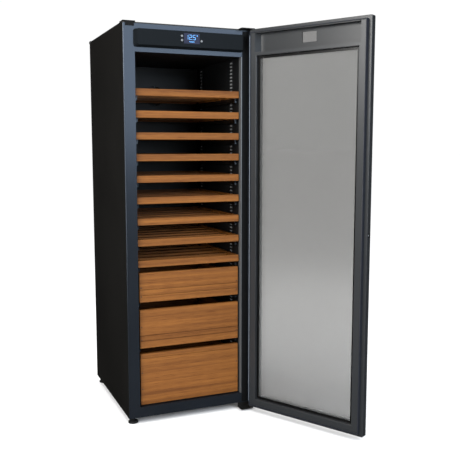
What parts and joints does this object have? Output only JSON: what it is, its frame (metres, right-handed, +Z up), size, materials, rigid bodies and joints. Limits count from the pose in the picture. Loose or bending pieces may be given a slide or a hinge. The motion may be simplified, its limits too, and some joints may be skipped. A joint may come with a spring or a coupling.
{
  "type": "wine cooler",
  "caption": "Tall free-standing wine cooler with a hinged glazed door, pull-out wooden shelves and drawers on steel runners, and a control panel above the opening.",
  "frame": {"origin": "on the floor, under the middle of the case", "axes": "+X to the right seen from the front, +Y to the back, +Z up"},
  "size_m": [0.8931, 1.2208, 1.7735],
  "materials": {
    "steel_black": "fine satin powder coat",
    "steel_face": "satin paint",
    "plastic_black": "moulded, fine texture",
    "panel_plastic": "moulded, satin",
    "liner_plastic": "thermoformed, satin",
    "foam": "rigid foam",
    "runner_steel": "zinc plated",
    "wood": "oiled, straight grained",
    "door_grey": "satin painted",
    "seal_rubber": "matt",
    "dark_glass": "tinted",
    "spacer_aluminium": "anodised",
    "lock_chrome": "polished",
    "button_metal": "satin anodised",
    "display": "clear window over a dark display",
    "nylon": "moulded nylon",
    "duct_plastic": "moulded",
    "machine_steel": "gloss black paint",
    "copper_tube": "black lacquer",
    "evaporator_metal": "mill finish"
  },
  "bodies": {
    "cabinet": {"side_panels": "steel_black", "top_cover": "plastic_black", "back_panel": "steel_black", "base_plate": "steel_black", "insulation_foam": "foam", "inner_liner": "liner_plastic", "front_frame": "steel_face", "levelling_feet": "plastic_black", "shelf_standards": "machine_steel", "control_panel": "panel_plastic", "display_window": "display", "top_hinge_bracket": "steel_black", "bottom_hinge_bracket": "steel_black", "hinge_hole_cover": "plastic_black", "air_duct": "duct_plastic", "fan_motor": "machine_steel", "evaporator": "evaporator_metal", "compressor": "machine_steel", "condenser": "copper_tube", "power_inlet": "plastic_black", "runner_channels": "runner_steel"},
    "door": {"door_frame": "door_grey", "door_liner": "door_grey", "door_gasket": "seal_rubber", "outer_glass": "dark_glass", "inner_glass": "dark_glass", "glass_spacer": "spacer_aluminium", "hinge_bushes": "nylon"},
    "lock": {"lock_barrel": "lock_chrome"},
    "fan": {"fan_impeller": "plastic_black"},
    "power_button": {"button_power": "button_metal"},
    "down_button": {"button_down": "button_metal"},
    "up_button": {"button_up": "button_metal"},
    "shelf_1": {"shelf_1": "wood", "shelf_1_slides": "runner_steel"},
    "shelf_2": {"shelf_2": "wood", "shelf_2_slides": "runner_steel"},
    "shelf_3": {"shelf_3": "wood", "shelf_3_slides": "runner_steel"},
    "shelf_4": {"shelf_4": "wood", "shelf_4_slides": "runner_steel"},
    "shelf_5": {"shelf_5": "wood", "shelf_5_slides": "runner_steel"},
    "shelf_6": {"shelf_6": "wood", "shelf_6_slides": "runner_steel"},
    "shelf_7": {"shelf_7": "wood", "shelf_7_slides": "runner_steel"},
    "shelf_8": {"shelf_8": "wood", "shelf_8_slides": "runner_steel"},
    "shelf_9": {"shelf_9": "wood", "shelf_9_slides": "runner_steel"},
    "drawer_1": {"drawer_1_front": "wood", "drawer_1_box": "wood", "drawer_1_slides": "runner_steel"},
    "drawer_2": {"drawer_2_front": "wood", "drawer_2_box": "wood", "drawer_2_slides": "runner_steel"},
    "drawer_3": {"drawer_3_front": "wood", "drawer_3_box": "wood", "drawer_3_slides": "runner_steel"}
  },
  "joints": [
    {"name": "door_hinge", "type": "hinge", "parent": "cabinet", "child": "door", "pos_m": [0.291, -0.362, 0], "axis": [0, 0, 1], "range_deg": [-119, 6]},
    {"name": "lock_turn", "type": "hinge", "parent": "door", "child": "lock", "pos_m": [0.5833, -0.87798, 0.88], "axis": [0.4848, -0.8746, 0], "range_deg": [0, 90]},
    {"name": "fan_spin", "type": "hinge", "parent": "cabinet", "child": "fan", "pos_m": [0, 0.222, 1.5], "axis": [0, 1, 0], "continuous": true},
    {"name": "power_button_press", "type": "slide", "parent": "cabinet", "child": "power_button", "axis": [0, 1, 0], "range_m": [0, 0.001], "stiffness_N_per_m": 600, "springref_m": -0.0005},
    {"name": "down_button_press", "type": "slide", "parent": "cabinet", "child": "down_button", "axis": [0, 1, 0], "range_m": [0, 0.001], "stiffness_N_per_m": 600, "springref_m": -0.0005},
    {"name": "up_button_press", "type": "slide", "parent": "cabinet", "child": "up_button", "axis": [0, 1, 0], "range_m": [0, 0.001], "stiffness_N_per_m": 600, "springref_m": -0.0005},
    {"name": "shelf_1_slide", "type": "slide", "parent": "cabinet", "child": "shelf_1", "axis": [0, -1, 0], "range_m": [0, 0.37]},
    {"name": "shelf_2_slide", "type": "slide", "parent": "cabinet", "child": "shelf_2", "axis": [0, -1, 0], "range_m": [0, 0.37]},
    {"name": "shelf_3_slide", "type": "slide", "parent": "cabinet", "child": "shelf_3", "axis": [0, -1, 0], "range_m": [0, 0.37]},
    {"name": "shelf_4_slide", "type": "slide", "parent": "cabinet", "child": "shelf_4", "axis": [0, -1, 0], "range_m": [0, 0.37]},
    {"name": "shelf_5_slide", "type": "slide", "parent": "cabinet", "child": "shelf_5", "axis": [0, -1, 0], "range_m": [0, 0.37]},
    {"name": "shelf_6_slide", "type": "slide", "parent": "cabinet", "child": "shelf_6", "axis": [0, -1, 0], "range_m": [0, 0.37]},
    {"name": "shelf_7_slide", "type": "slide", "parent": "cabinet", "child": "shelf_7", "axis": [0, -1, 0], "range_m": [0, 0.37]},
    {"name": "shelf_8_slide", "type": "slide", "parent": "cabinet", "child": "shelf_8", "axis": [0, -1, 0], "range_m": [0, 0.37]},
    {"name": "shelf_9_slide", "type": "slide", "parent": "cabinet", "child": "shelf_9", "axis": [0, -1, 0], "range_m": [0, 0.37]},
    {"name": "drawer_1_slide", "type": "slide", "parent": "cabinet", "child": "drawer_1", "axis": [0, -1, 0], "range_m": [0, 0.37]},
    {"name": "drawer_2_slide", "type": "slide", "parent": "cabinet", "child": "drawer_2", "axis": [0, -1, 0], "range_m": [0, 0.37]},
    {"name": "drawer_3_slide", "type": "slide", "parent": "cabinet", "child": "drawer_3", "axis": [0, -1, 0], "range_m": [0, 0.23]}
  ]
}
